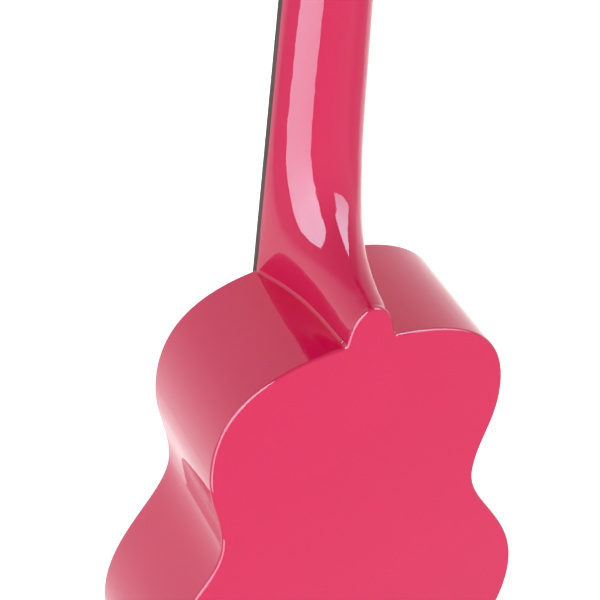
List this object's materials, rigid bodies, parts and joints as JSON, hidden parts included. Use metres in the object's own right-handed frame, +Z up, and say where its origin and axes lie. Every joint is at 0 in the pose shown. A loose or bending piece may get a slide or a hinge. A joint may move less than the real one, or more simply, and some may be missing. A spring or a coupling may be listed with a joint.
{
  "type": "ukulele",
  "caption": "Small guitar-shaped fretted instrument in glossy pink lacquer, with a heeled neck, round sound hole, tied bridge, nylon strings and open geared tuners that turn.",
  "frame": {"origin": "where the neck's middle plane meets the nut's front edge and the fretboard's glue plane, just under the headstock", "axes": "+Z up the neck towards the headstock, -Y out of the front past the strings, +X towards the first string's side"},
  "size_m": [0.1736, 0.0665, 0.527],
  "materials": {
    "pink_lacquer": "high-gloss hot-pink lacquer over wood",
    "dark_wood": "dark brown hardwood, satin",
    "inner_wood": "pale raw softwood, matt",
    "rosette_black": "black inlay, gloss",
    "marker_white": "pearly white dots",
    "fret_nickel": "polished nickel silver",
    "bone_plastic": "off-white, satin",
    "knob_plastic": "off-white buttons, gloss",
    "nylon": "clear to milky nylon",
    "tuner_chrome": "bright plating",
    "gear_brass": "machined brass",
    "screw_steel": "plated steel"
  },
  "bodies": {
    "body": {"back_brace_lower": "inner_wood", "back_brace_upper": "inner_wood", "back_brace_waist": "inner_wood", "back_linings": "inner_wood", "back_plate": "pink_lacquer", "bridge": "dark_wood", "bridge_plate": "inner_wood", "fret_markers": "marker_white", "fretboard": "dark_wood", "frets": "fret_nickel", "heel_block": "inner_wood", "neck": "pink_lacquer", "neck_dowels": "inner_wood", "nut": "bone_plastic", "rosette": "rosette_black", "saddle": "bone_plastic", "side_bass": "pink_lacquer", "side_treble": "pink_lacquer", "soundboard": "pink_lacquer", "string_a": "nylon", "string_c": "nylon", "string_e": "nylon", "string_g": "nylon", "tail_block": "inner_wood", "top_brace_lower": "inner_wood", "top_brace_upper": "inner_wood", "top_linings": "inner_wood", "tuner_bushing_a": "tuner_chrome", "tuner_bushing_c": "tuner_chrome", "tuner_bushing_e": "tuner_chrome", "tuner_bushing_g": "tuner_chrome", "tuner_mounting_screws": "screw_steel", "tuner_plate_a": "tuner_chrome", "tuner_plate_c": "tuner_chrome", "tuner_plate_e": "tuner_chrome", "tuner_plate_g": "tuner_chrome"},
    "post_g": {"tuner_post_g": "tuner_chrome", "tuner_gear_g": "gear_brass", "tuner_gear_screw_g": "screw_steel", "string_wraps_g": "nylon"},
    "knob_g": {"tuner_worm_g": "tuner_chrome", "tuner_knob_g": "knob_plastic"},
    "post_c": {"tuner_post_c": "tuner_chrome", "tuner_gear_c": "gear_brass", "tuner_gear_screw_c": "screw_steel", "string_wraps_c": "nylon"},
    "knob_c": {"tuner_worm_c": "tuner_chrome", "tuner_knob_c": "knob_plastic"},
    "post_e": {"tuner_post_e": "tuner_chrome", "tuner_gear_e": "gear_brass", "tuner_gear_screw_e": "screw_steel", "string_wraps_e": "nylon"},
    "knob_e": {"tuner_worm_e": "tuner_chrome", "tuner_knob_e": "knob_plastic"},
    "post_a": {"tuner_post_a": "tuner_chrome", "tuner_gear_a": "gear_brass", "tuner_gear_screw_a": "screw_steel", "string_wraps_a": "nylon"},
    "knob_a": {"tuner_worm_a": "tuner_chrome", "tuner_knob_a": "knob_plastic"}
  },
  "joints": [
    {"name": "post_g_spin", "type": "hinge", "parent": "body", "child": "post_g", "pos_m": [-0.0135, 0.01811, 0.03439], "axis": [0, -0.9781, 0.2079], "continuous": true},
    {"name": "knob_g_spin", "type": "hinge", "parent": "body", "child": "knob_g", "pos_m": [-0.0135, 0.02104, 0.02748], "axis": [1, 0, 0], "continuous": true},
    {"name": "post_c_spin", "type": "hinge", "parent": "body", "child": "post_c", "pos_m": [-0.0135, 0.02726, 0.07743], "axis": [0, -0.9781, 0.2079], "continuous": true},
    {"name": "knob_c_spin", "type": "hinge", "parent": "body", "child": "knob_c", "pos_m": [-0.0135, 0.03019, 0.07052], "axis": [1, 0, 0], "continuous": true},
    {"name": "post_e_spin", "type": "hinge", "parent": "body", "child": "post_e", "pos_m": [0.0135, 0.02726, 0.07743], "axis": [0, -0.9781, 0.2079], "continuous": true},
    {"name": "knob_e_spin", "type": "hinge", "parent": "body", "child": "knob_e", "pos_m": [0.0135, 0.03019, 0.07052], "axis": [1, 0, 0], "continuous": true},
    {"name": "post_a_spin", "type": "hinge", "parent": "body", "child": "post_a", "pos_m": [0.0135, 0.01811, 0.03439], "axis": [0, -0.9781, 0.2079], "continuous": true},
    {"name": "knob_a_spin", "type": "hinge", "parent": "body", "child": "knob_a", "pos_m": [0.0135, 0.02104, 0.02748], "axis": [1, 0, 0], "continuous": true}
  ],
  "couplings": [
    {"joint": "knob_g_spin", "follows": "post_g_spin", "ratio": -14},
    {"joint": "knob_c_spin", "follows": "post_c_spin", "ratio": -14},
    {"joint": "knob_e_spin", "follows": "post_e_spin", "ratio": -14},
    {"joint": "knob_a_spin", "follows": "post_a_spin", "ratio": -14}
  ]
}
